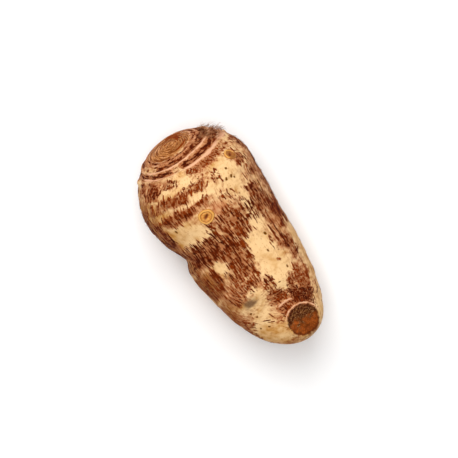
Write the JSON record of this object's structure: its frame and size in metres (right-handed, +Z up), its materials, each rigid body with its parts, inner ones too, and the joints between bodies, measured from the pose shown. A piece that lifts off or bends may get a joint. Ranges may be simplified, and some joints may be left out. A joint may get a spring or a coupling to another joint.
{
  "type": "taro root",
  "caption": "Small taro corm lying on its side, with ringed top, bud eyes, a pinched flank and a corky attachment scar at its narrow end.",
  "frame": {"origin": "centre of the bounding box in plan, on the surface the corm lies on", "axes": "+X along the corm from its ringed apex to its attachment scar, +Z up, +Y to the right flank seen from the apex's side with +X ahead and the viewer above"},
  "size_m": [0.1082, 0.0558, 0.0549],
  "materials": {
    "taro_skin": "dry matt skin: cream flesh-coloured where bare, pinkish-tan film, brown fibrous husk in bands and streaks"
  },
  "bodies": {
    "root": {"taro_corm": "taro_skin"}
  },
  "joints": []
}
